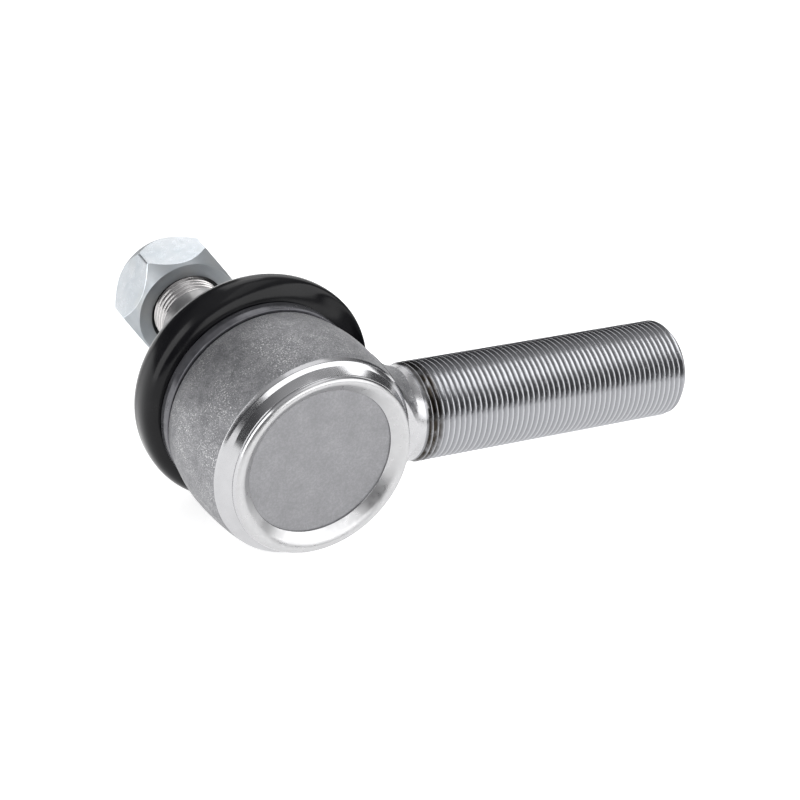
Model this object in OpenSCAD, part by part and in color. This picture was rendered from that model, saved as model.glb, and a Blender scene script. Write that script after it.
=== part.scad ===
// Outer tie rod end: a forged housing with a threaded shank, and a ball stud that
// swings, tilts and spins in it. Millimetres.
// The origin is the ball's centre. +X runs along the shank to its free end, +Y along
// the housing's bore towards the stud, and +Z is up.

/* [Shank] */
// Nominal diameter of the shank thread (M24 x 1.5)
shank_thread_d = 24; // [20:0.5:30]
// Distance from the ball's centre to the shank's free end
shank_length = 106; // [90:1:130]
// Length of the threaded stretch, chamfer included
shank_thread_length = 76; // [50:0.5:80]
// Diameter of the plain neck behind the thread
shank_neck_d = 23; // [18:0.5:24]
// Length of the chamfer at the free end
shank_chamfer = 1.5; // [0.5:0.1:3]

/* [Housing] */
// Diameter of the barrel at its widest
barrel_d = 52.6; // [52:0.1:56]
// Diameter of the barrel at its edge beside the boot
barrel_top_d = 49.2; // [47:0.1:50]
// Height of the barrel's edge beside the boot, above the ball's centre
barrel_top = 13.5; // [13:0.5:15]
// Diameter of the barrel's edge at the turned cap end
rim_d = 50.6; // [49:0.1:52]
// Depth of the turned edge below the ball's centre
rim_depth = 11; // [10:0.1:11.5]
// Diameter of the spigot that carries the boot
spigot_d = 42; // [40:0.5:43]
// Height of the spigot's end face above the ball's centre
spigot_top = 18.6; // [18:0.1:20]
// Diameter of the bore that holds the bearing shells
bore_d = 33.6; // [32:0.1:35]

/* [Cap] */
// Diameter of the closing disc
cap_d = 38; // [37:0.1:39]
// Thickness of the closing disc
cap_thickness = 1.5; // [1:0.1:1.6]
// Diameter of the opening that the rolled lip leaves over the disc
lip_opening_d = 36.4; // [35:0.1:36.8]

/* [Stud] */
// Diameter of the ball
ball_d = 26; // [25:0.1:26.4]
// Diameter of the neck above the ball
neck_d = 15.6; // [13:0.1:16]
// Larger diameter of the taper
taper_large_d = 20; // [18.5:0.1:21]
// Taper's fall in diameter per length, 1 in this many
taper_ratio = 10; // [8:1:12]
// Length of the taper
taper_length = 20; // [16:0.5:24]
// Nominal diameter of the stud thread (M18 x 1.5)
stud_thread_d = 18; // [16:0.5:18]
// Distance from the ball's centre to the stud's free end
stud_length = 80.5; // [79:0.5:84]
// Lean of the stud towards the shank as it lies at rest
stud_lean = 4.2; // [0:0.1:8]

/* [Nut] */
// Width across the nut's flats
nut_across_flats = 27; // [24:0.5:30]
// Height of the nut
nut_height = 15.8; // [13:0.1:16]
// Distance from the ball's centre to the nut's near face
nut_start = 62.4; // [60:0.1:64]
// Turn of the nut about the stud
nut_turn = 49.8; // [0:0.1:60]

/* [Boot] */
// Outer diameter of the boot's bulge
boot_d = 58.8; // [56:0.1:60]
// Wall thickness of the boot
boot_wall = 2.2; // [1.6:0.1:2.4]

/* [Hidden] */
$fn = 96;

ball_r = ball_d / 2;
ball_flat = 0.66 * ball_r;            // the ball is cut flat this far below its centre
shell_gap = 0.05;                     // running clearance around the ball and the shells
shell_top = 6.2;                      // the upper shell ends here, clear of the neck's sweep
shell_bottom = 10.4;                  // the lower shell's end face is this far below
shell_split = 0.3;                    // half of the slit between the two shells

bore_r = bore_d / 2;
bore_top = 1.5;                       // the straight bore ends here and a cone closes it
mouth_r = 12.9;                       // narrowest radius of the stud's way out
mouth_height = 8.2;
mouth_flare_r = 17.5;                 // radius of the way out at the spigot's end face

cap_r = cap_d / 2;
cap_seat = 12.3;                      // the disc's inner face lies this far below
cap_face = cap_seat + cap_thickness;
lip_opening_r = lip_opening_d / 2;
lip_end = 16.3;                       // lowest point of the rolled lip
lip_outer_r = 22.8;
lip_rounding = 1.3;
lip_slope = 0.875;                    // the lip's inner face opens this much per depth
lip_root_r = 22.1;                    // foot of the lip, where the turned cone ends
lip_root = 14.1;
rim_r = rim_d / 2;
rim_shoulder_r = 23.6;                // start of the turned cone
rim_shoulder = 12.4;

barrel_r = barrel_d / 2;
barrel_waist = 1.5;                   // height of the barrel's widest circle
spigot_r = spigot_d / 2;
bead_groove_r = spigot_r - 0.9;       // groove for the boot's bead
bead_low = barrel_top + 1.4;
bead_high = barrel_top + 3.9;

shank_r = shank_thread_d / 2;
shank_thread_start = shank_length - shank_thread_length;
hub_r = 15;                           // forged root of the shank
hub_start = 19;
hub_end = 27;

neck_r = neck_d / 2;
lip_seat_r = 9;                       // plain stretch of the stud under the boot's lip
lip_seat_start = 27.5;
taper_start = 35.5;
taper_end = taper_start + taper_length;
taper_small_r = (taper_large_d - taper_length / taper_ratio) / 2;
stud_r = stud_thread_d / 2;
stud_chamfer = 1.2;

nut_corner_r = nut_across_flats / sqrt(3);
nut_face_r = 13.05;                   // flat faces of the nut inside its chamfers
nut_chamfer = 5.2;                    // height of the chamfer at the corners
nut_countersink_r = 9.9;
nut_countersink = 0.9;
nut_gap = 0.05;

clamp_r = 25.1;                       // outer radius of the ring around the boot's foot
clamp_wall = 1.3;
clamp_low = barrel_top + 0.3;
clamp_height = 3.6;
foot_r = clamp_r - clamp_wall - 0.05; // boot's foot under the clamp ring
foot_low = barrel_top + 0.3;
foot_gap = 0.25;                      // between the boot's foot and the spigot
boot_r = boot_d / 2;
bulge_height = 22.2;                  // height of the bulge's widest circle
bulge_rise = 7.2;                     // from the widest circle to the boot's crown
bulge_drop = 4.4;                     // from the widest circle to the crease over the clamp
crown_r = 19;
sleeve_r = 11.6;                      // boot's lip around the stud
sleeve_bore_r = lip_seat_r + 0.3;
sleeve_low = 28.2;
sleeve_high = 33;
shoulder_height = 27.2;               // web between the crown and the sleeve
web_r = crown_r + 4;
lip_wire_r = 0.9;
lip_wire_height = 31.4;

// Places children, drawn around +Z, on the housing's bore axis
module on_bore() {
    rotate([-90, 0, 0]) children();
}

// Places children, drawn around +Z, on the leaning stud's axis
module on_stud() {
    rotate([0, 0, -stud_lean]) on_bore() children();
}

// Places children, drawn around +Z, on the shank's axis
module on_shank() {
    rotate([0, 90, 0]) children();
}

// A turned solid from points of [radius, height]
module turned(points) {
    rotate_extrude() polygon(points);
}

// Points of an elliptic quarter or half from angle a0 to a1 about [radius, height]
function arc(centre, rx, ry, a0, a1, steps) =
    [for (i = [0:steps]) let (a = a0 + (a1 - a0) * i / steps)
        [centre[0] + rx * cos(a), centre[1] + ry * sin(a)]];

// Barrel's outline: a shallow arc from the turned edge over the waist to the boot's edge
function barrel_outline(steps) =
    [for (i = [0:steps])
        let (h = -rim_depth + (barrel_top + rim_depth) * i / steps,
             side = h > barrel_waist ? barrel_top - barrel_waist : barrel_waist + rim_depth,
             fall = h > barrel_waist ? barrel_r - barrel_top_d / 2 : barrel_r - rim_r)
        [barrel_r - fall * pow((h - barrel_waist) / side, 2), h]];

module housing_outside() {
    on_bore() turned(concat(
        [[0, -lip_end]],
        arc([lip_outer_r - lip_rounding, -lip_end + lip_rounding], lip_rounding, lip_rounding,
            -90, 0, 8),
        [[lip_root_r, -lip_root], [rim_shoulder_r, -rim_shoulder],
         [rim_shoulder_r + 0.9, -rim_shoulder + 0.5]],
        barrel_outline(12),
        [[spigot_r, barrel_top], [spigot_r, spigot_top - 0.6], [spigot_r - 0.6, spigot_top],
         [0, spigot_top]]));
    intersection() {
        on_shank() translate([0, 0, hub_start])
            cylinder(h = hub_end - hub_start, r1 = hub_r, r2 = shank_r);
        on_bore() translate([0, 0, -rim_depth])
            cylinder(h = rim_depth + barrel_top, r = hub_end + 1);
    }
    on_shank() cylinder(h = shank_thread_start, d = shank_neck_d);
    on_shank() translate([0, 0, shank_thread_start])
        cylinder(h = shank_thread_length - shank_chamfer, r = shank_r);
    on_shank() translate([0, 0, shank_length - shank_chamfer])
        cylinder(h = shank_chamfer, r1 = shank_r, r2 = shank_r - shank_chamfer);
}

module housing() {
    color([0.55, 0.56, 0.58]) difference() {
        housing_outside();
        on_bore() turned([
            [0, -lip_end - 1], [lip_opening_r + lip_slope * (lip_end + 1 - cap_face), -lip_end - 1],
            [lip_opening_r, -cap_face],
            [cap_r + shell_gap, -cap_face], [cap_r + shell_gap, -cap_seat],
            [bore_r, -cap_seat], [bore_r, bore_top], [mouth_r, mouth_height],
            [mouth_flare_r, spigot_top + 0.1], [0, spigot_top + 0.1]]);
        on_bore() turned([
            [bead_groove_r, bead_low], [spigot_r + 1, bead_low], [spigot_r + 1, bead_high],
            [bead_groove_r, bead_high]]);
    }
}

module cap_disc() {
    color([0.62, 0.62, 0.64]) on_bore() translate([0, 0, -cap_face])
        cylinder(h = cap_thickness, r = cap_r);
}

// A coned washer that presses the lower shell against the ball
module disc_spring() {
    outer_r = bore_r - 0.4;
    inner_r = 11;
    thickness = 0.9;
    color([0.35, 0.36, 0.38]) on_bore() turned([
        [inner_r, -shell_bottom - thickness], [inner_r, -shell_bottom],
        [outer_r, -cap_seat + thickness], [outer_r, -cap_seat]]);
}

// The bore's filling between two heights, less the ball's hollow
module bearing_shell(low, high) {
    color([0.9, 0.88, 0.8]) difference() {
        on_bore() intersection() {
            turned([
                [0, -shell_bottom], [bore_r - shell_gap, -shell_bottom],
                [bore_r - shell_gap, bore_top - shell_gap], [mouth_r - shell_gap, mouth_height - shell_gap],
                [0, mouth_height - shell_gap]]);
            translate([0, 0, low]) cylinder(h = high - low, r = bore_r + 1);
        }
        sphere(r = ball_r + shell_gap);
    }
}

module lower_seat() {
    bearing_shell(-shell_bottom, -shell_split);
}

module upper_seat() {
    bearing_shell(shell_split, shell_top);
}

module ball_stud() {
    color([0.75, 0.74, 0.72]) on_stud() union() {
        difference() {
            sphere(r = ball_r);
            translate([0, 0, -ball_flat - ball_r]) cylinder(h = ball_r, r = ball_d);
        }
        turned([
            [0, 0], [neck_r, 0], [neck_r, lip_seat_start - 3], [lip_seat_r, lip_seat_start],
            [lip_seat_r, taper_start], [taper_large_d / 2, taper_start],
            [taper_small_r, taper_end], [stud_r, taper_end],
            [stud_r, stud_length - stud_chamfer], [stud_r - stud_chamfer, stud_length],
            [0, stud_length]]);
    }
}

// Bulge and foot follow the housing, and the web and sleeve follow the stud
module dust_boot() {
    inner_r = boot_r - boot_wall;
    color([0.08, 0.08, 0.09]) union() {
        on_bore() turned(concat(
            [[spigot_r + foot_gap, foot_low], [foot_r, foot_low],
             [foot_r, bulge_height - bulge_drop]],
            arc([foot_r, bulge_height], boot_r - foot_r, bulge_drop, -90, 0, 8),
            arc([crown_r, bulge_height], boot_r - crown_r, bulge_rise, 10, 90, 10),
            arc([crown_r, bulge_height], inner_r - crown_r, bulge_rise - boot_wall, 90, 0, 10),
            [[spigot_r + foot_gap + 0.6, bulge_height - bulge_drop + boot_wall]]));
        on_stud() turned([
            [sleeve_bore_r, sleeve_low], [crown_r - 3, shoulder_height - 0.8],
            [web_r, shoulder_height - 0.8], [web_r, shoulder_height + 1],
            [sleeve_r + 2, sleeve_low + 1.9], [sleeve_r, sleeve_low + 2.1],
            [sleeve_r, sleeve_high], [sleeve_bore_r, sleeve_high]]);
    }
}

module boot_clamp_ring() {
    color([0.15, 0.15, 0.16]) on_bore() turned([
        [clamp_r - clamp_wall, clamp_low], [clamp_r, clamp_low + 0.3],
        [clamp_r, clamp_low + clamp_height - 0.3],
        [clamp_r - clamp_wall, clamp_low + clamp_height]]);
}

module boot_lip_ring() {
    color([0.3, 0.31, 0.33]) on_stud() translate([0, 0, lip_wire_height])
        rotate_extrude() translate([sleeve_r + lip_wire_r + 0.02, 0])
            circle(r = lip_wire_r, $fn = 32);
}

// Hexagon with both ends turned to a cone
module hex_nut() {
    rim = nut_corner_r + 1;
    fall = nut_chamfer * (rim - nut_face_r) / (nut_corner_r - nut_face_r);
    color([0.78, 0.82, 0.86]) on_stud() translate([0, 0, nut_start]) difference() {
        intersection() {
            rotate([0, 0, nut_turn]) cylinder(h = nut_height, r = nut_corner_r, $fn = 6);
            turned([[0, 0], [nut_face_r, 0], [rim, fall], [rim, nut_height - fall],
                    [nut_face_r, nut_height], [0, nut_height]]);
        }
        translate([0, 0, -1]) cylinder(h = nut_height + 2, r = stud_r + nut_gap);
        translate([0, 0, -0.01])
            cylinder(h = nut_countersink, r1 = nut_countersink_r, r2 = stud_r + nut_gap);
        translate([0, 0, nut_height - nut_countersink + 0.01])
            cylinder(h = nut_countersink, r1 = stud_r + nut_gap, r2 = nut_countersink_r);
    }
}

housing();
cap_disc();
disc_spring();
lower_seat();
upper_seat();
ball_stud();
dust_boot();
boot_clamp_ring();
boot_lip_ring();
hex_nut();
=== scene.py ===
from math import acos, atan2, ceil, cos, degrees, hypot, pi, radians, sin, sqrt, tan

import bpy
from mathutils import Matrix, Vector, noise


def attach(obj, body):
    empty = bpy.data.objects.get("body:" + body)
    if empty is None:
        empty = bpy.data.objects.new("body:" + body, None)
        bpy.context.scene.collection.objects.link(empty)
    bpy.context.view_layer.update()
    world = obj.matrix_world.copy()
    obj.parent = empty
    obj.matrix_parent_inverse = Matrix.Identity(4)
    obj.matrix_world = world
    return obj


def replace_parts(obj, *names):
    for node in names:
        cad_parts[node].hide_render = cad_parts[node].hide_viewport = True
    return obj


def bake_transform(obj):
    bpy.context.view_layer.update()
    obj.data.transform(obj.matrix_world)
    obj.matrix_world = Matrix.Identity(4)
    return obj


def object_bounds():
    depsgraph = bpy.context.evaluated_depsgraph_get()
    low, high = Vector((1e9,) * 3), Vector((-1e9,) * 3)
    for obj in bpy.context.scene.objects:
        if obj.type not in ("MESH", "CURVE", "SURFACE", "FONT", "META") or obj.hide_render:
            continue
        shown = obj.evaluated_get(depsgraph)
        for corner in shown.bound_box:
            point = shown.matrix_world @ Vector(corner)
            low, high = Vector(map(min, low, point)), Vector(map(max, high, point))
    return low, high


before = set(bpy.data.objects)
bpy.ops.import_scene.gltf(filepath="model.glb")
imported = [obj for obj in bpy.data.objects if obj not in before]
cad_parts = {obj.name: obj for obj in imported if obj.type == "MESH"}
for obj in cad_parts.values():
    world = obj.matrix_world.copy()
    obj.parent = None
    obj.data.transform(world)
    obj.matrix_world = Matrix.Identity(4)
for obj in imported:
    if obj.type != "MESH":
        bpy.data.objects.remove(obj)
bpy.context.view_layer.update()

MM = 0.001

# Sizes in millimetres. The ball's centre is the origin, the shank lies along +X and the
# housing's bore along +Y. Heights are along the axis of each turned piece.
SHANK_R = 12.0
SHANK_ROOT_R = 11.05
SHANK_NECK_R = 11.45
SHANK_START = 29.6
SHANK_END = 106.0
SHANK_CHAMFER = 1.5
PITCH = 1.5

BARREL_R = 26.3
BARREL_WAIST = 1.5
BARREL_TOP_R = 24.6
BARREL_TOP = 13.5
RIM_R = 25.3
RIM_TOP = -11.0
SHOULDER_R = 23.6
SHOULDER = -12.4
LIP_ROOT_R = 22.1
LIP_ROOT = -14.1
BEAD_R = 1.3
BEAD_CENTRE_R = 21.5
BEAD_HEIGHT = -15.0
FORGING_OFFSET = 0.4
OFFSET_TURN = radians(222)
ROLL_OFFSET = 0.35
ROLL_TURN = radians(245)
SPIGOT_R = 21.0
SPIGOT_TOP = 18.6
BORE_R = 16.8
CAP_SEAT = -12.3
CAP_FACE = -13.8
CAP_R = 19.0
LIP_R = 18.2

BALL_R = 13.0
BALL_FLAT = -8.58
NECK_R = 7.8
LIP_SEAT_R = 9.0
LIP_SEAT_START = 27.5
TAPER_START = 35.5
TAPER_END = 55.5
TAPER_LARGE_R = 10.0
TAPER_SMALL_R = 9.0
STUD_R = 9.0
STUD_ROOT_R = 8.08
STUD_THREAD_START = 56.6
STUD_END = 80.5
STUD_CHAMFER = 1.2
STUD_LEAN = radians(4.2)

NUT_START = 62.4
NUT_HEIGHT = 15.8
NUT_FLATS = 27.0
NUT_FACE_R = 13.05
NUT_CHAMFER = 5.2
NUT_HOLE_R = 9.05
NUT_SINK_R = 9.9
NUT_SINK = 0.9
NUT_TURN = radians(130.2)

BOOT_FOOT_R = 23.75
BOOT_BORE_R = 21.25
BOOT_FOOT = 13.85
BOOT_CREASE = 17.6
BULGE_R = 29.4
BULGE_TUBE = 6.3
BULGE_REACH = 5.4
BULGE_DROP = 4.7
BULGE_HEIGHT = 22.2
BULGE_LEAN = radians(5.8)
BULGE_SHIFT = Vector((1.5, -0.4, 0))
BOOT_SPLIT = 24.0
BOOT_WALL = 2.0
SLEEVE_R = 11.6
SLEEVE_BORE_R = 9.3
SLEEVE_TOP = 33.0

CLAMP_R = 25.1
CLAMP_BORE_R = 23.8
CLAMP_LOW = 13.8
CLAMP_HIGH = 17.4
WIRE_R = 0.9
WIRE_HEIGHT = 31.4


# ---------------------------------------------------------------- axes and mesh helpers

def on_bore(p):
    """A point drawn around +Z, moved to the housing's bore axis."""
    return Vector((p[1], p[2], p[0]))


def on_shank(p):
    """A point drawn around +Z, moved to the shank's axis."""
    return Vector((p[2], p[0], p[1]))


def on_stud(p):
    """A point drawn around +Z, moved to the leaning stud's axis."""
    return Matrix.Rotation(-STUD_LEAN, 3, "Z") @ on_bore(p)


def build(name, points, faces, materials, indices=None, sharp=40.0):
    """A smooth-shaded mesh object from points in millimetres."""
    mesh = bpy.data.meshes.new(name)
    mesh.from_pydata([Vector(p) * MM for p in points], [], faces)
    for material in materials:
        mesh.materials.append(material)
    if indices:
        mesh.polygons.foreach_set("material_index", indices)
    obj = bpy.data.objects.new(name, mesh)
    bpy.context.scene.collection.objects.link(obj)
    weld(mesh)
    mesh.shade_smooth()
    mesh.set_sharp_from_angle(angle=radians(sharp))
    return obj


def weld(mesh):
    """Joins coincident points, drops the faces that this closes up, and turns all faces outwards."""
    import bmesh
    bm = bmesh.new()
    bm.from_mesh(mesh)
    bmesh.ops.remove_doubles(bm, verts=bm.verts, dist=1e-6)
    bmesh.ops.dissolve_degenerate(bm, dist=1e-7, edges=bm.edges)
    bmesh.ops.recalc_face_normals(bm, faces=bm.faces)
    bm.to_mesh(mesh)
    bm.free()


def grid_faces(rows, columns, close_rows=False):
    """Quads between neighbouring rows of points, where each row closes on itself."""
    faces = []
    for i in range(rows if close_rows else rows - 1):
        a, b = i * columns, (i + 1) % rows * columns
        for j in range(columns):
            k = (j + 1) % columns
            faces.append((a + j, a + k, b + k, b + j))
    return faces


def rounded(corners, step=14.0):
    """An outline from corners (radius, height, fillet): each fillet becomes an arc."""
    outline = []
    for i, (x, y, fillet) in enumerate(corners):
        if fillet == 0 or i in (0, len(corners) - 1):
            outline.append((x, y))
            continue
        here = Vector((x, y))
        before = (Vector(corners[i - 1][:2]) - here).normalized()
        after = (Vector(corners[i + 1][:2]) - here).normalized()
        half = acos(max(-1.0, min(1.0, before.dot(after)))) / 2
        reach = fillet / tan(half)
        middle = here + (before + after).normalized() * fillet / sin(half)
        start, end = here + before * reach - middle, here + after * reach - middle
        turn = start.angle_signed(end)
        count = max(2, ceil(abs(degrees(turn)) / step))
        for k in range(count + 1):
            a = -turn * k / count
            outline.append(tuple(middle + Matrix.Rotation(a, 2) @ start))
    return outline


def finer(outline, longest):
    """The same outline with no stretch longer than asked."""
    result = [outline[0]]
    for a, b in zip(outline, outline[1:]):
        count = max(1, ceil(hypot(b[0] - a[0], b[1] - a[1]) / longest))
        result += [(a[0] + (b[0] - a[0]) * k / count, a[1] + (b[1] - a[1]) * k / count)
                   for k in range(1, count + 1)]
    return result


def ring_points(outline, segments):
    return [(r * cos(2 * pi * j / segments), r * sin(2 * pi * j / segments), h)
            for r, h in outline for j in range(segments)]


def turned(name, outline, place, materials, segments=160, pick=None, closed=True, shift=None):
    """A turned piece. pick(radius, height) gives a face's material, shift moves each point."""
    points = [place(p) for p in ring_points(outline, segments)]
    if shift:
        points = [shift(p) for p in points]
    faces = grid_faces(len(outline), segments, closed)
    indices = None
    if pick:
        indices = []
        for i in range(len(faces) // segments):
            (r0, h0), (r1, h1) = outline[i], outline[(i + 1) % len(outline)]
            indices += [pick((r0 + r1) / 2, (h0 + h1) / 2)] * segments
    return build(name, points, faces, materials, indices)


def arc(centre, rx, ry, start, end, count):
    """Points of an ellipse from start to end, in degrees."""
    return [(centre[0] + rx * cos(radians(start + (end - start) * k / count)),
             centre[1] + ry * sin(radians(start + (end - start) * k / count)))
            for k in range(count + 1)]


def smooth(t):
    t = max(0.0, min(1.0, t))
    return t * t * (3 - 2 * t)


def thread(name, place, crest_r, root_r, start, end, limit, material, left_in=0.0, segments=128):
    """A real helical thread. limit(height) is the blank's radius, which cuts the crests at the ends."""
    profile = [(0.0, root_r), (0.125, root_r), (0.47, crest_r - 0.06), (0.51, crest_r),
               (0.59, crest_r), (0.63, crest_r - 0.06), (0.975, root_r)]
    turns = ceil((end - start) / PITCH) + 2
    rows = []
    for turn in range(-1, turns):
        for offset, radius in profile:
            rows.append((turn + offset, radius))
    points = []
    for base, radius in rows:
        for j in range(segments):
            a = 2 * pi * j / segments
            h = start + PITCH * (base - 1 + j / segments)
            h = max(start, min(end, h))
            fade = smooth((h - start) / left_in) if left_in else 1.0
            r = min(limit(h), limit(h) + (radius - limit(h)) * fade)
            points.append(place((r * cos(a), r * sin(a), h)))
    faces = []
    n = len(profile)
    for i in range(len(rows) - 1):
        for j in range(segments - 1):
            a, b = i * segments + j, (i + 1) * segments + j
            faces.append((a, a + 1, b + 1, b))
    for i in range(len(rows) - 1 - n):
        a, b = i * segments + segments - 1, (i + 1) * segments + segments - 1
        c, d = (i + n) * segments, (i + n + 1) * segments
        faces.append((a, c, d, b))
    return build(name, points, faces, [material], sharp=60)


def join(name, objects):
    """Joins objects into the first one, under one name."""
    with bpy.context.temp_override(active_object=objects[0], selected_editable_objects=objects):
        bpy.ops.object.join()
    objects[0].name = name
    return objects[0]


# ---------------------------------------------------------------- materials

class Look:
    """A principled material and short calls to build its nodes."""

    def __init__(self, name, color, metallic, roughness, **sockets):
        self.material = bpy.data.materials.new(name)
        self.material.use_nodes = True
        self.tree = self.material.node_tree
        self.shader = self.tree.nodes["Principled BSDF"]
        self.shader.inputs["Base Color"].default_value = (*color, 1)
        self.shader.inputs["Metallic"].default_value = metallic
        self.shader.inputs["Roughness"].default_value = roughness
        for socket, value in sockets.items():
            self.shader.inputs[socket.replace("_", " ")].default_value = value
        self.position = self.add("ShaderNodeTexCoord").outputs["Object"]
        self.normal = None

    def add(self, kind, **settings):
        node = self.tree.nodes.new(kind)
        for key, value in settings.items():
            setattr(node, key, value)
        return node

    def link(self, output, node, socket):
        self.tree.links.new(output, node.inputs[socket])

    def math(self, operation, a, b=None):
        node = self.add("ShaderNodeMath", operation=operation)
        for i, value in enumerate((a, b)):
            if isinstance(value, (int, float)):
                node.inputs[i].default_value = value
            elif value is not None:
                self.link(value, node, i)
        return node.outputs[0]

    def noise(self, size, detail=3.0, vector=None, roughness=0.55):
        """Noise whose features are about size millimetres across."""
        node = self.add("ShaderNodeTexNoise")
        node.inputs["Scale"].default_value = 1 / (size * MM)
        node.inputs["Detail"].default_value = detail
        node.inputs["Roughness"].default_value = roughness
        self.link(vector or self.position, node, "Vector")
        return node.outputs["Fac"]

    def around(self, axis, lean=0.0):
        """(radius, height, 0) about an axis, for marks that run around a turned surface."""
        source = self.position
        if lean:
            turn = self.add("ShaderNodeVectorRotate", rotation_type="Z_AXIS")
            turn.inputs["Angle"].default_value = lean
            self.link(source, turn, "Vector")
            source = turn.outputs[0]
        split = self.add("ShaderNodeSeparateXYZ")
        self.link(source, split, 0)
        across = [split.outputs[k] for k in "XYZ" if k != axis]
        squares = self.math("ADD", self.math("MULTIPLY", across[0], across[0]),
                            self.math("MULTIPLY", across[1], across[1]))
        combined = self.add("ShaderNodeCombineXYZ")
        radius = self.math("SQRT", squares)
        self.link(radius, combined, 0)
        self.link(split.outputs[axis], combined, 1)
        return combined.outputs[0], radius, split.outputs[axis]

    def ramp(self, value, *stops):
        node = self.add("ShaderNodeValToRGB")
        ramp = node.color_ramp
        while len(ramp.elements) < len(stops):
            ramp.elements.new(0.5)
        for element, (place, color) in zip(ramp.elements, stops):
            element.position = place
            element.color = (*color, 1) if isinstance(color, tuple) else (color,) * 3 + (1,)
        self.link(value, node, "Fac")
        return node.outputs["Color"]

    def fit(self, value, low, high, to_low, to_high):
        node = self.add("ShaderNodeMapRange", clamp=True)
        for i, number in enumerate((low, high, to_low, to_high)):
            node.inputs[i + 1].default_value = number
        self.link(value, node, "Value")
        return node.outputs[0]

    def mix(self, amount, a, b, kind="MIX"):
        node = self.add("ShaderNodeMix", data_type="RGBA", blend_type=kind)
        for value, i in ((amount, 0), (a, 6), (b, 7)):
            if isinstance(value, (int, float)):
                node.inputs[i].default_value = value
            elif isinstance(value, tuple):
                node.inputs[i].default_value = (*value, 1)
            else:
                self.link(value, node, i)
        return node.outputs[2]

    def bump(self, height, depth, strength=1.0):
        """Stacks a bump of depth millimetres onto the normal."""
        node = self.add("ShaderNodeBump")
        node.inputs["Strength"].default_value = strength
        node.inputs["Distance"].default_value = depth * MM
        self.link(height, node, "Height")
        if self.normal:
            self.link(self.normal, node, "Normal")
        self.normal = node.outputs[0]
        self.link(self.normal, self.shader, "Normal")

    def color(self, output):
        self.link(output, self.shader, "Base Color")

    def roughness(self, output):
        self.link(output, self.shader, "Roughness")


def forged_steel():
    """Raw drop-forged skin: grey, finely pitted, with glinting grains."""
    look = Look("forged_steel", (0.4, 0.4, 0.41), 0.85, 0.5)
    grain = look.noise(0.42, 3, roughness=0.7)
    specks = look.noise(0.3, 1)
    cloud = look.noise(7, 3)
    patch = look.noise(13, 2)
    tone = look.ramp(cloud, (0.3, (0.215, 0.217, 0.227)), (0.7, (0.315, 0.317, 0.327)))
    tone = look.mix(look.fit(look.noise(2.2, 4), 0.35, 0.75, 0, 0.4), tone, (0.55, 0.55, 0.56))
    tone = look.mix(look.fit(grain, 0.38, 0.6, 0.62, 0.0), tone, (0.13, 0.13, 0.14))
    glint = look.math("MULTIPLY", look.fit(specks, 0.6, 0.7, 0, 1),
                      look.fit(patch, 0.42, 0.62, 0.15, 0.9))
    tone = look.mix(glint, tone, (0.9, 0.9, 0.9))
    look.color(tone)
    look.roughness(look.fit(look.noise(0.22, 2), 0.35, 0.7, 0.62, 0.4))
    look.bump(look.noise(0.75, 3), 0.12, 0.5)
    look.bump(grain, 0.07, 0.8)
    return look.material


def turned_steel(name, axis, color, roughness, marks=0.004, lean=0.0):
    """Lathe-cut bright steel with fine rings around its axis."""
    look = Look(name, color, 1.0, roughness)
    rings, _, _ = look.around(axis, lean)
    fine = look.noise(0.12, 2, rings)
    broad = look.noise(0.7, 2, rings)
    look.color(look.mix(look.fit(look.noise(3, 3), 0.35, 0.75, 0, 0.35), color,
                        tuple(0.82 * c for c in color)))
    look.roughness(look.fit(look.noise(1.5, 3), 0.3, 0.7, roughness * 0.85, roughness * 1.2))
    look.bump(fine, marks, 0.8)
    look.bump(broad, marks * 2, 0.5)
    return look.material


def thread_steel(name, axis, color, crest_r, root_r, lean=0.0, oiled_below=None):
    """Thread crests brightened by painted highlight, flanks and roots darkened by painted shade, with
    old oil in the first turns.
    """
    look = Look(name, color, 1.0, 0.24)
    rings, radius, height = look.around(axis, lean)
    rise = crest_r - root_r
    # painted shade: the flanks and roots darken the deeper they lie
    depth = look.fit(radius, root_r * MM, (root_r + 0.85 * rise) * MM, 1, 0)
    # painted highlight: the crests lighten towards their tops
    painted_crest_highlight = look.fit(radius, (crest_r - 0.22 * rise) * MM, (crest_r - 0.05 * rise) * MM, 0, 0.55)
    tone = look.mix(look.math("MULTIPLY", depth, 0.65), color, (0.17, 0.173, 0.185))
    tone = look.mix(painted_crest_highlight, tone, tuple(1.6 * c for c in color))
    if oiled_below:
        edge = look.fit(height, (oiled_below - 0.6) * MM, (oiled_below + 0.8) * MM, 1, 0)
        start = look.fit(height, (oiled_below - 4.4) * MM, (oiled_below - 3.4) * MM, 0, 1)
        oil = look.math("MULTIPLY", look.math("MULTIPLY", edge, start),
                        look.fit(look.noise(2.5, 3), 0.3, 0.55, 0.45, 1.0))
        oil = look.math("MULTIPLY", oil, look.fit(radius, (crest_r - 0.4) * MM, crest_r * MM, 1, 0.45))
        tone = look.mix(oil, tone, (0.035, 0.030, 0.024))
    look.color(tone)
    look.roughness(look.fit(look.noise(1.2, 3), 0.3, 0.7, 0.16, 0.28))
    look.bump(look.noise(0.1, 2, rings), 0.004, 0.6)
    return look.material


def plate_steel():
    """Matt cold-rolled disc with faint clouding and a very fine grain."""
    look = Look("plate_steel", (0.38, 0.38, 0.39), 1.0, 0.42)
    cloud = look.noise(5, 3)
    tone = look.ramp(cloud, (0.3, (0.27, 0.27, 0.28)), (0.75, (0.32, 0.32, 0.332)))
    grain = look.fit(look.noise(0.45, 3, roughness=0.7), 0.42, 0.62, 0.45, 0.0)
    look.color(look.mix(grain, tone, (0.19, 0.19, 0.197)))
    look.roughness(look.fit(look.noise(0.9, 4), 0.3, 0.7, 0.4, 0.52))
    look.bump(look.noise(0.16, 3), 0.02, 0.5)
    look.bump(look.noise(4, 2), 0.05, 0.3)
    return look.material


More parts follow.
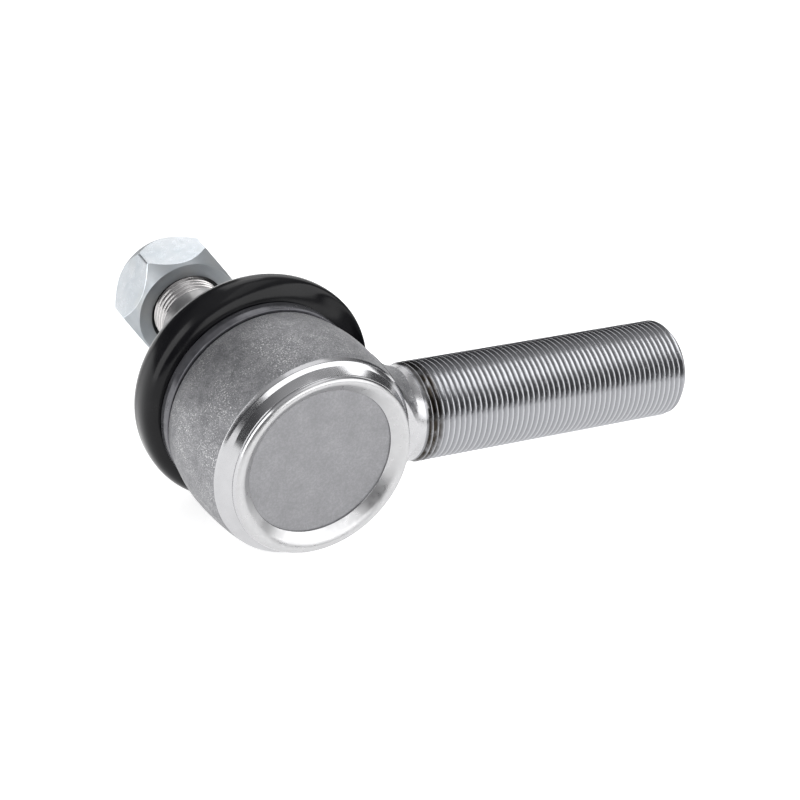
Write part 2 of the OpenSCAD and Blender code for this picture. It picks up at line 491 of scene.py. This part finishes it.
def boot_rubber():
    """Glossy black moulded rubber with faint waviness and dull patches."""
    look = Look("boot_rubber", (0.006, 0.006, 0.007), 0.0, 0.14, Specular_IOR_Level=0.21)
    dust = look.noise(6, 4)
    look.color(look.ramp(dust, (0.35, (0.003, 0.003, 0.004)), (0.8, (0.007, 0.007, 0.008))))
    look.roughness(look.fit(look.noise(4, 4), 0.3, 0.75, 0.14, 0.24))
    look.bump(look.noise(7, 2), 0.1, 0.2)
    look.bump(look.noise(0.4, 3), 0.006, 0.5)
    return look.material


def black_ring():
    """Black-finished spring steel with a soft gloss."""
    look = Look("black_ring", (0.06, 0.06, 0.065), 0.6, 0.14)
    look.color(look.ramp(look.noise(3, 4), (0.3, (0.085, 0.085, 0.094)), (0.75, (0.14, 0.14, 0.152))))
    look.roughness(look.fit(look.noise(2, 4), 0.3, 0.7, 0.16, 0.28))
    look.bump(look.noise(0.3, 3), 0.008, 0.5)
    return look.material


def zinc_plate(name, painted_light_scale, smoothest, roughest):
    """Bright zinc plating: bluish white, softly clouded, with a faint passivation tint. The first
    number scales the colour, up for painted highlight, down for painted shade.
    """
    look = Look(name, (0.66, 0.70, 0.74), 1.0, 0.26)
    low, high = (0.60, 0.65, 0.69), (0.72, 0.75, 0.78)
    # colour scaled up for painted highlight, down for painted shade
    tone = look.ramp(look.noise(6, 3), (0.3, tuple(painted_light_scale * c for c in low)),
                     (0.7, tuple(painted_light_scale * c for c in high)))
    yellow = tuple(painted_light_scale * c for c in (0.72, 0.70, 0.60))
    look.color(look.mix(look.fit(look.noise(9, 2), 0.5, 0.8, 0, 0.35), tone, yellow))
    look.roughness(look.fit(look.noise(2, 4), 0.3, 0.7, smoothest, roughest))
    look.bump(look.noise(0.9, 3), 0.003, 0.3)
    look.bump(look.noise(0.2, 3), 0.003, 0.5)
    return look.material


def bearing_plastic():
    """Off-white acetal with a faint moulded grain and grease sheen."""
    look = Look("bearing_plastic", (0.8, 0.78, 0.7), 0.0, 0.4)
    look.color(look.ramp(look.noise(4, 3), (0.3, (0.74, 0.71, 0.62)), (0.75, (0.84, 0.82, 0.75))))
    look.roughness(look.fit(look.noise(2, 3), 0.3, 0.7, 0.28, 0.5))
    look.bump(look.noise(0.3, 3), 0.01, 0.4)
    return look.material


def spring_steel():
    """Oil-dark spring steel with fine drawing marks."""
    look = Look("spring_steel", (0.22, 0.22, 0.235), 1.0, 0.3)
    look.color(look.ramp(look.noise(2, 4), (0.3, (0.16, 0.16, 0.175)), (0.75, (0.30, 0.30, 0.31))))
    look.roughness(look.fit(look.noise(1, 3), 0.3, 0.7, 0.22, 0.42))
    look.bump(look.noise(0.15, 3), 0.006, 0.6)
    return look.material


def pale_floor():
    """White studio table, lit a little from below, with the faintest mottling."""
    look = Look("pale_floor", (0.72, 0.72, 0.72), 0.0, 0.6, Emission_Strength=0.72)
    look.shader.inputs["Emission Color"].default_value = (1, 1, 1, 1)
    look.color(look.ramp(look.noise(300, 2), (0.3, 0.71), (0.7, 0.73)))
    return look.material


# ---------------------------------------------------------------- pieces

def barrel_radius(h):
    """Radius of the raw barrel at a height on the bore axis."""
    if h < RIM_TOP:
        return RIM_R - (RIM_R - SHOULDER_R) * (RIM_TOP - h) / (RIM_TOP - SHOULDER)
    if h > BARREL_WAIST:
        share = (h - BARREL_WAIST) / (BARREL_TOP - BARREL_WAIST)
        return BARREL_R - (BARREL_R - BARREL_TOP_R) * share ** 2
    return BARREL_R - (BARREL_R - RIM_R) * ((h - BARREL_WAIST) / (BARREL_WAIST - RIM_TOP)) ** 2


def forged_wobble(p, depth=0.07):
    """Moves a point a little, as a forging's skin is never quite even."""
    v = Vector(p)
    push = depth * noise.noise(v / 5.0) + 0.35 * depth * noise.noise(v / 1.4)
    away = Vector((v.x, 0, v.z)).normalized()
    return v + away * push


def make_housing(raw, bright, lip, neck, screw):
    """The forging: barrel and turned rim, forged root, and the threaded shank."""
    barrel = [(barrel_radius(RIM_TOP + (BARREL_TOP - 0.8 - RIM_TOP) * k / 30),
               RIM_TOP + (BARREL_TOP - 0.8 - RIM_TOP) * k / 30) for k in range(31)]
    top = rounded([(*barrel[-1], 0), (BARREL_TOP_R, BARREL_TOP, 0.9), (SPIGOT_R, BARREL_TOP, 0.3),
                   (SPIGOT_R, SPIGOT_TOP, 0.5), (17.5, SPIGOT_TOP, 0.3), (12.9, 8.2, 0.4),
                   (BORE_R, 1.5, 0.3), (BORE_R, CAP_SEAT, 0)])
    rim = rounded([(BORE_R, CAP_SEAT, 0), (CAP_R + 0.05, CAP_SEAT, 0), (CAP_R + 0.05, CAP_FACE, 0),
                   (LIP_R, CAP_FACE - 0.04, 0.03), (LIP_R + 0.1, CAP_FACE - 0.3, 0.12),
                   (20.1, -15.55, 3.0), (BEAD_CENTRE_R - 0.3, BEAD_HEIGHT - BEAD_R + 0.02, 0)], 5)
    rim += arc((BEAD_CENTRE_R, BEAD_HEIGHT), BEAD_R, BEAD_R, -90, 22, 18)
    rim += rounded([(*rim[-1], 0), (LIP_ROOT_R + 0.02, LIP_ROOT - 0.05, 0.25),
                    (SHOULDER_R, SHOULDER - 0.1, 0.5), (RIM_R - 0.55, RIM_TOP - 0.8, 0.9),
                    (RIM_R, RIM_TOP, 0.05), (RIM_R + 0.02, RIM_TOP + 0.1, 0)], 7)[1:]
    outline = finer(barrel, 1.0) + top[1:] + rim[1:-2]

    def pick(r, h):
        if h > RIM_TOP + 0.01:
            return 0
        return 2 if r < LIP_ROOT_R + 0.4 and h < LIP_ROOT - 0.1 else 1

    def shift(p):
        reach = hypot(p.x, p.z)
        if p.y < LIP_ROOT + 0.3:
            share = smooth((reach - 20.5) / 1.5)
            return p + ROLL_OFFSET * share * Vector((cos(ROLL_TURN), 0, sin(ROLL_TURN)))
        if reach < SHOULDER_R + 0.3:
            return p
        raw_skin = smooth((p.y - RIM_TOP) / 1.2) * smooth((BARREL_TOP - p.y) / 1.2)
        off = FORGING_OFFSET * smooth((p.y - SHOULDER) / 1.0) * smooth((BARREL_TOP + 0.2 - p.y) / 0.8)
        p = p.lerp(forged_wobble(p), raw_skin)
        return p + off * Vector((cos(OFFSET_TURN), 0, sin(OFFSET_TURN)))

    body = turned("housing_barrel", outline, on_bore, [raw, bright, lip], 288, pick, True, shift)
    return join("housing_forging", [body, make_root(raw, neck), make_shank(neck, screw)])


def make_root(raw, neck):
    """Forged root where the shank grows out of the barrel, ending in the turned neck."""
    points, indices = [], []
    segments, count = 144, 26
    flat = -SHANK_NECK_R
    reach = 16.5
    for k in range(count + 1):
        t = k / count
        for j in range(segments):
            a = 2 * pi * j / segments
            def skin(radius):
                y, z = radius * cos(a), radius * sin(a)
                y = min(max(y, flat), BARREL_TOP - 0.3)
                return sqrt(barrel_radius(y) ** 2 - z * z)
            ends = [(29.4, SHANK_NECK_R), (26.6, SHANK_NECK_R), (skin(12.6) + 0.5, 12.6),
                    (skin(reach) - 0.25, reach)]
            w = [(1 - t) ** 3, 3 * t * (1 - t) ** 2, 3 * t * t * (1 - t), t ** 3]
            x = sum(c * e[0] for c, e in zip(w, ends))
            radius = sum(c * e[1] for c, e in zip(w, ends))
            y, z = min(max(radius * cos(a), flat), BARREL_TOP - 0.3), radius * sin(a)
            p = Vector((x, y, z))
            rough = smooth((t - 0.3) / 0.2)
            p += p.normalized() * 0.09 * rough * noise.noise(p / 2.5)
            points.append(p)
    faces = grid_faces(count + 1, segments)
    for face in faces:
        middle = sum((points[i] for i in face), Vector()) / 4
        indices.append(1 if middle.x > 27.6 or middle.y < -9.2 else 0)
    return build("root", points, faces, [raw, neck], indices, 60)


def make_shank(neck, screw):
    """Neck, helical thread and chamfered end face."""
    def blank(h):
        return min(SHANK_R, SHANK_R - (h - (SHANK_END - SHANK_CHAMFER)))
    ridge = thread("shank_thread", on_shank, SHANK_R, SHANK_ROOT_R, SHANK_START, SHANK_END,
                   lambda h: min(blank(h), SHANK_NECK_R + (SHANK_R - SHANK_NECK_R)
                                 * smooth((h - SHANK_START) / 1.2)), screw, 1.6)
    end = turned("shank_end", rounded([(SHANK_R - SHANK_CHAMFER, SHANK_END, 0),
                                       (SHANK_R - SHANK_CHAMFER - 0.5, SHANK_END + 0.0, 0.2),
                                       (2.6, SHANK_END, 0.2), (0.0, SHANK_END - 2.0, 0)]),
                 on_shank, [neck], 128, None, False)
    collar = turned("shank_neck", [(SHANK_NECK_R, SHANK_START), (SHANK_NECK_R, 28.0)],
                    on_shank, [neck], 128, None, False)
    return join("shank", [ridge, end, collar])


def make_cap(plate):
    """Closing disc, very slightly dished, with a soft edge."""
    outline = rounded([(0, CAP_FACE + 0.12, 0), (15.5, CAP_FACE + 0.10, 0), (17.6, CAP_FACE + 0.01, 0),
                       (CAP_R, CAP_FACE + 0.01, 0.05), (CAP_R, CAP_SEAT, 0.2), (0, CAP_SEAT, 0)])
    return turned("cap_plate", finer(outline, 2.5), on_bore, [plate], 192, None, False)


def make_stud(plain, screw):
    """Ball, neck, taper and threaded end in one forging."""
    flat_angle = degrees(atan2(BALL_FLAT, sqrt(BALL_R ** 2 - BALL_FLAT ** 2)))
    neck_angle = degrees(atan2(sqrt(BALL_R ** 2 - NECK_R ** 2), NECK_R))
    ball = arc((0, 0), BALL_R, BALL_R, flat_angle, neck_angle, 36)
    stem = rounded([(*ball[-1], 0), (NECK_R, LIP_SEAT_START - 3, 3), (LIP_SEAT_R, LIP_SEAT_START, 1.5),
                    (LIP_SEAT_R, TAPER_START, 0.3), (TAPER_LARGE_R, TAPER_START, 0.3),
                    (TAPER_SMALL_R, TAPER_END, 0.6), (STUD_R, STUD_THREAD_START, 0)])
    body = turned("stud_body", [(0, BALL_FLAT)] + ball + finer(stem, 2.0)[1:], on_stud, [plain],
                  144, None, False)
    ridge = thread("stud_thread", on_stud, STUD_R, STUD_ROOT_R, STUD_THREAD_START, STUD_END,
                   lambda h: min(STUD_R, STUD_R - (h - (STUD_END - STUD_CHAMFER))), screw, 1.0, 112)
    end = turned("stud_end", rounded([(STUD_R - STUD_CHAMFER, STUD_END, 0), (3.0, STUD_END, 0.3),
                                      (0, STUD_END - 2.2, 0)]), on_stud, [plain], 112, None, False)
    return join("ball_stud_forging", [body, ridge, end])


def hexagon(a, flats, soft=200):
    """Radius of a hexagon at an angle, with corners very slightly rounded."""
    total = sum(max(0.0, cos(a - NUT_TURN - pi / 6 - k * pi / 3)) ** soft for k in range(6))
    return flats / 2 / total ** (1 / soft)


def make_nut(materials):
    """Hexagon whose two ends are turned to steep cones, so each flat ends in a curve.
    Materials: the flats, the turned ends darkened by painted shade, their smoother edges brightened by
    painted highlight, and the hole darkened by painted shade."""
    segments = 288
    corner = NUT_FLATS / sqrt(3)
    slope = NUT_CHAMFER / (corner - NUT_FACE_R)
    points = []

    def circle(r, h):
        points.extend(on_nut((r, h, 2 * pi * j / segments)) for j in range(segments))

    def on_nut(p):
        r, h, a = p
        return on_stud((r * sin(a), r * cos(a), NUT_START + h))

    def ring(share, far):
        for j in range(segments):
            a = 2 * pi * j / segments
            edge = hexagon(a, NUT_FLATS)
            r = NUT_FACE_R + (edge - NUT_FACE_R) * share
            h = (r - NUT_FACE_R) * slope
            points.append(on_nut((r, NUT_HEIGHT - h if far else h, a)))

    circle(NUT_HOLE_R, NUT_SINK)
    circle(NUT_SINK_R - 0.1, 0.06)
    circle(NUT_SINK_R + 0.1, 0.0)
    circle(NUT_FACE_R - 0.25, 0.0)
    circle(NUT_FACE_R - 0.02, 0.05)
    for share in (0.15, 0.5, 0.96, 1.0):
        ring(share, False)
    for k in range(1, 6):
        for j in range(segments):
            a = 2 * pi * j / segments
            r = hexagon(a, NUT_FLATS)
            low = (r - NUT_FACE_R) * slope
            points.append(on_nut((r, low + (NUT_HEIGHT - 2 * low) * k / 6, a)))
    for share in (1.0, 0.96, 0.5, 0.15):
        ring(share, True)
    circle(NUT_FACE_R - 0.02, NUT_HEIGHT - 0.05)
    circle(NUT_FACE_R - 0.25, NUT_HEIGHT)
    circle(NUT_SINK_R + 0.1, NUT_HEIGHT)
    circle(NUT_SINK_R - 0.1, NUT_HEIGHT - 0.06)
    circle(NUT_HOLE_R, NUT_HEIGHT - NUT_SINK)
    rows = len(points) // segments
    # edge rows take plating brightened by painted highlight; end and hole rows take plating darkened by
    # painted shade
    flat, end, edge, hole = 0, 1, 2, 3
    kinds = [hole] + 6 * [end] + [edge] + 6 * [flat] + [edge] + 6 * [end] + 2 * [hole]
    indices = [kinds[row] for row in range(rows) for _ in range(segments)]
    return build("hex_nut_zinc", points, grid_faces(rows, segments, True), materials, indices, 22)


def bulge(angle, inset=0.0):
    """A point on the boot's bulge, at an angle in degrees above its widest circle."""
    across, up = (BULGE_TUBE, BULGE_TUBE) if angle > 0 else (BULGE_REACH, BULGE_DROP)
    a = radians(angle)
    return (BULGE_R - across + (across - inset) * cos(a), BULGE_HEIGHT + (up - inset) * sin(a))


def lean_bulge(p):
    """The bulge sits askew, because the stud pulls the boot's crown over."""
    middle = Vector((0, BULGE_HEIGHT, 0))
    return Matrix.Rotation(-BULGE_LEAN, 3, "Z") @ (p - middle) + middle + BULGE_SHIFT


def make_boot(rubber):
    """The boot in two pieces that meet above the bulge's widest circle: bell and crown."""
    split = degrees(atan2(BOOT_SPLIT - BULGE_HEIGHT, BULGE_TUBE))
    outside = rounded([(BOOT_BORE_R, BOOT_FOOT, 0), (BOOT_FOOT_R, BOOT_FOOT, 0.1),
                       (BOOT_FOOT_R, BOOT_CREASE, 0)])
    outside += [bulge(a) for a in [-84 + (split + 84) * k / 34 for k in range(35)]]
    inside = [bulge(split + (-86 - split) * k / 22, BOOT_WALL) for k in range(23)]

    def settle(p):
        """Leaves the clamped foot alone and leans a point with the bulge the higher it is."""
        return p.lerp(lean_bulge(p), smooth((p.y - BOOT_CREASE) / (BULGE_HEIGHT - BOOT_CREASE)))

    outline = finer(outside, 1.2) + inside + [(BOOT_BORE_R + 0.2, BOOT_CREASE + 2.2)]
    bell = turned("dust_boot_bell", outline, on_bore, [rubber], 224, None, True, settle)
    outside = [bulge(split + (88 - split) * k / 20) for k in range(21)]
    outside += rounded([(*outside[-1], 0), (18.5, 28.9, 6), (14.5, 28.6, 2.0),
                        (SLEEVE_R + 0.7, 30.0, 0.6), (SLEEVE_R, 30.4, 0.2),
                        (SLEEVE_R, 32.2, 0.2), (SLEEVE_R + 0.5, 32.5, 0.2),
                        (SLEEVE_R + 0.4, SLEEVE_TOP, 0.3), (SLEEVE_BORE_R, SLEEVE_TOP, 0.2),
                        (SLEEVE_BORE_R, 28.6, 0.3), (14.5, 26.7, 1.5), (20.0, 26.9, 3),
                        (*bulge(80, BOOT_WALL), 0)])[1:]
    outside += [bulge(80 + (split - 80) * k / 14, BOOT_WALL) for k in range(15)]


    def follow(p):
        """Leans a point with the bulge, and the more with the stud the nearer it is to the sleeve."""
        share = smooth((BULGE_R - hypot(p.x, p.z)) / (BULGE_R - SLEEVE_R - 2))
        share *= smooth((p.y - BOOT_SPLIT) / 3.2)
        return lean_bulge(p).lerp(Matrix.Rotation(-STUD_LEAN, 3, "Z") @ p, share)

    crown = turned("dust_boot_crown", finer(outside, 1.2), on_bore, [rubber], 224, None, True, follow)
    return bell, crown


def make_clamp(black):
    """Flat band around the boot's foot, with its edges rolled in."""
    outline = rounded([(CLAMP_BORE_R, CLAMP_LOW, 0), (CLAMP_R - 0.15, CLAMP_LOW, 0.35),
                       (CLAMP_R, (CLAMP_LOW + CLAMP_HIGH) / 2, 2.5), (CLAMP_R - 0.15, CLAMP_HIGH, 0.35),
                       (CLAMP_BORE_R, CLAMP_HIGH, 0)])
    return turned("boot_clamp_band", finer(outline, 0.6), on_bore, [black], 224)


def make_lip_ring(steel):
    """Two-turn wire ring that holds the boot's lip on the stud."""
    points = []
    turns, steps, sides = 1.9, 180, 14
    wire = WIRE_R / 2
    for i in range(steps + 1):
        a = 2 * pi * turns * i / steps
        h = WIRE_HEIGHT - wire + 2 * wire * i / steps
        for j in range(sides):
            b = 2 * pi * j / sides
            r = SLEEVE_R + wire + 0.05 + wire * cos(b)
            points.append(on_stud((r * cos(a), r * sin(a), h + wire * sin(b))))
    faces = grid_faces(steps + 1, sides)
    faces += [tuple(range(sides)), tuple(range(steps * sides, (steps + 1) * sides))]
    return build("boot_lip_wire", points, faces, [steel])


raw = forged_steel()
bright = turned_steel("turned_rim", "Y", (0.49, 0.49, 0.50), 0.16, 0.002)
lip = turned_steel("rolled_lip", "Y", (0.50, 0.50, 0.505), 0.3, 0.002)
neck = turned_steel("turned_neck", "X", (0.5, 0.5, 0.51), 0.28, 0.002)
screw = thread_steel("shank_thread", "X", (0.35, 0.354, 0.37), SHANK_R, SHANK_ROOT_R, 0.0, 34.0)
stud_plain = turned_steel("ground_stud", "Y", (0.50, 0.49, 0.49), 0.34, 0.003, STUD_LEAN)
stud_screw = thread_steel("stud_thread", "Y", (0.50, 0.485, 0.48), STUD_R, STUD_ROOT_R, STUD_LEAN)
rubber = boot_rubber()
acetal = bearing_plastic()
spring = spring_steel()

housing = make_housing(raw, bright, lip, neck, screw)
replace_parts(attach(housing, "housing_body"), "housing")
cap = make_cap(plate_steel())
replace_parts(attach(cap, "housing_body"), "cap_disc")
clamp = make_clamp(black_ring())
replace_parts(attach(clamp, "housing_body"), "boot_clamp_ring")
stud = make_stud(stud_plain, stud_screw)
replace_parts(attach(stud, "stud_body"), "ball_stud")
# the nut's plating in lit and shaded copies: flats, turned ends darkened by painted shade, edges
# brightened by painted highlight, hole darkened by painted shade
nut = make_nut([zinc_plate("zinc_flat", 0.86, 0.24, 0.33), zinc_plate("zinc_turned_painted_shade", 0.58, 0.42, 0.55),
                zinc_plate("zinc_edge_painted_highlight", 1.15, 0.12, 0.2), zinc_plate("zinc_hole_painted_shade", 0.12, 0.4, 0.6)])
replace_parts(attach(nut, "stud_body"), "hex_nut")
wire = make_lip_ring(spring)
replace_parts(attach(wire, "boot_lip_body"), "boot_lip_ring")
bell, crown = make_boot(rubber)
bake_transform(bell)
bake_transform(crown)
for half in (bell, crown):
    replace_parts(half, "dust_boot")

for node, material in (("disc_spring", spring), ("lower_seat", acetal), ("upper_seat", acetal)):
    for material_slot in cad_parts[node].material_slots:
        material_slot.material = material


# ---------------------------------------------------------------- studio

def make_floor():
    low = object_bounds()[0][2]
    mesh = bpy.data.meshes.new("floor")
    half = 4.0
    mesh.from_pydata([(-half, -half, low), (half, -half, low), (half, half, low), (-half, half, low)],
                     [], [(0, 1, 2, 3)])
    mesh.materials.append(pale_floor())
    obj = bpy.data.objects.new("floor", mesh)
    bpy.context.scene.collection.objects.link(obj)


def softbox(name, azimuth, elevation, width, height, brightness):
    """A rectangular lamp a metre from the part, at an azimuth from the front and an elevation."""
    a, e = radians(azimuth), radians(elevation)
    away = Vector((sin(a) * cos(e), -cos(a) * cos(e), sin(e)))
    data = bpy.data.lights.new(name, "AREA")
    data.shape = "RECTANGLE"
    data.size, data.size_y = width, height
    data.energy = brightness * pi * width * height
    obj = bpy.data.objects.new(name, data)
    bpy.context.scene.collection.objects.link(obj)
    obj.location = away + Vector((0.03, 0, 0))
    obj.rotation_euler = away.to_track_quat("Z", "Y").to_euler()


def make_sky():
    """Dim surroundings: nearly dark at the horizon, grey overhead."""
    world = bpy.data.worlds.new("studio")
    bpy.context.scene.world = world
    world.use_nodes = True
    tree = world.node_tree
    where = tree.nodes.new("ShaderNodeTexCoord")
    split = tree.nodes.new("ShaderNodeSeparateXYZ")
    ramp = tree.nodes.new("ShaderNodeValToRGB")
    low, high = ramp.color_ramp.elements
    low.position, high.position = 0.45, 1.0
    low.color = (0.10, 0.10, 0.105, 1)
    high.color = (0.75, 0.75, 0.76, 1)
    tree.links.new(where.outputs["Generated"], split.inputs[0])
    tree.links.new(split.outputs["Z"], ramp.inputs["Fac"])
    tree.links.new(ramp.outputs["Color"], tree.nodes["Background"].inputs["Color"])


def make_camera():
    """The photograph's viewing angle: azimuth and elevation of the camera, its roll and lens."""
    azimuth, elevation, roll = radians(-34.643), radians(28.175), radians(8.113)
    distance, lens = 0.59797, 111.76
    aim = Vector((0.0354, 0.00956, -0.00263))
    data = bpy.data.cameras.new("camera")
    data.lens, data.sensor_width, data.clip_start = lens, 36.0, 0.01
    obj = bpy.data.objects.new("camera", data)
    bpy.context.scene.collection.objects.link(obj)
    back = Vector((sin(azimuth) * cos(elevation), -cos(azimuth) * cos(elevation), sin(elevation)))
    obj.location = aim + back * distance
    turn = back.to_track_quat("Z", "Y").to_matrix().to_4x4()
    obj.matrix_world = Matrix.Translation(obj.location) @ turn @ Matrix.Rotation(roll, 4, "Z")
    bpy.context.scene.camera = obj


make_floor()
make_sky()
softbox("front", 28, 26, 1.75, 0.68, 2.4)
softbox("left", -92, 23, 0.7, 0.9, 2.6)
softbox("overhead", 60, 80, 0.9, 0.5, 0.7)
softbox("back", 165, 42, 0.42, 0.45, 1.3)
softbox("rear_fill", 138, 22, 0.9, 0.5, 1.1)
make_camera()
bpy.context.scene.view_settings.view_transform = "Standard"
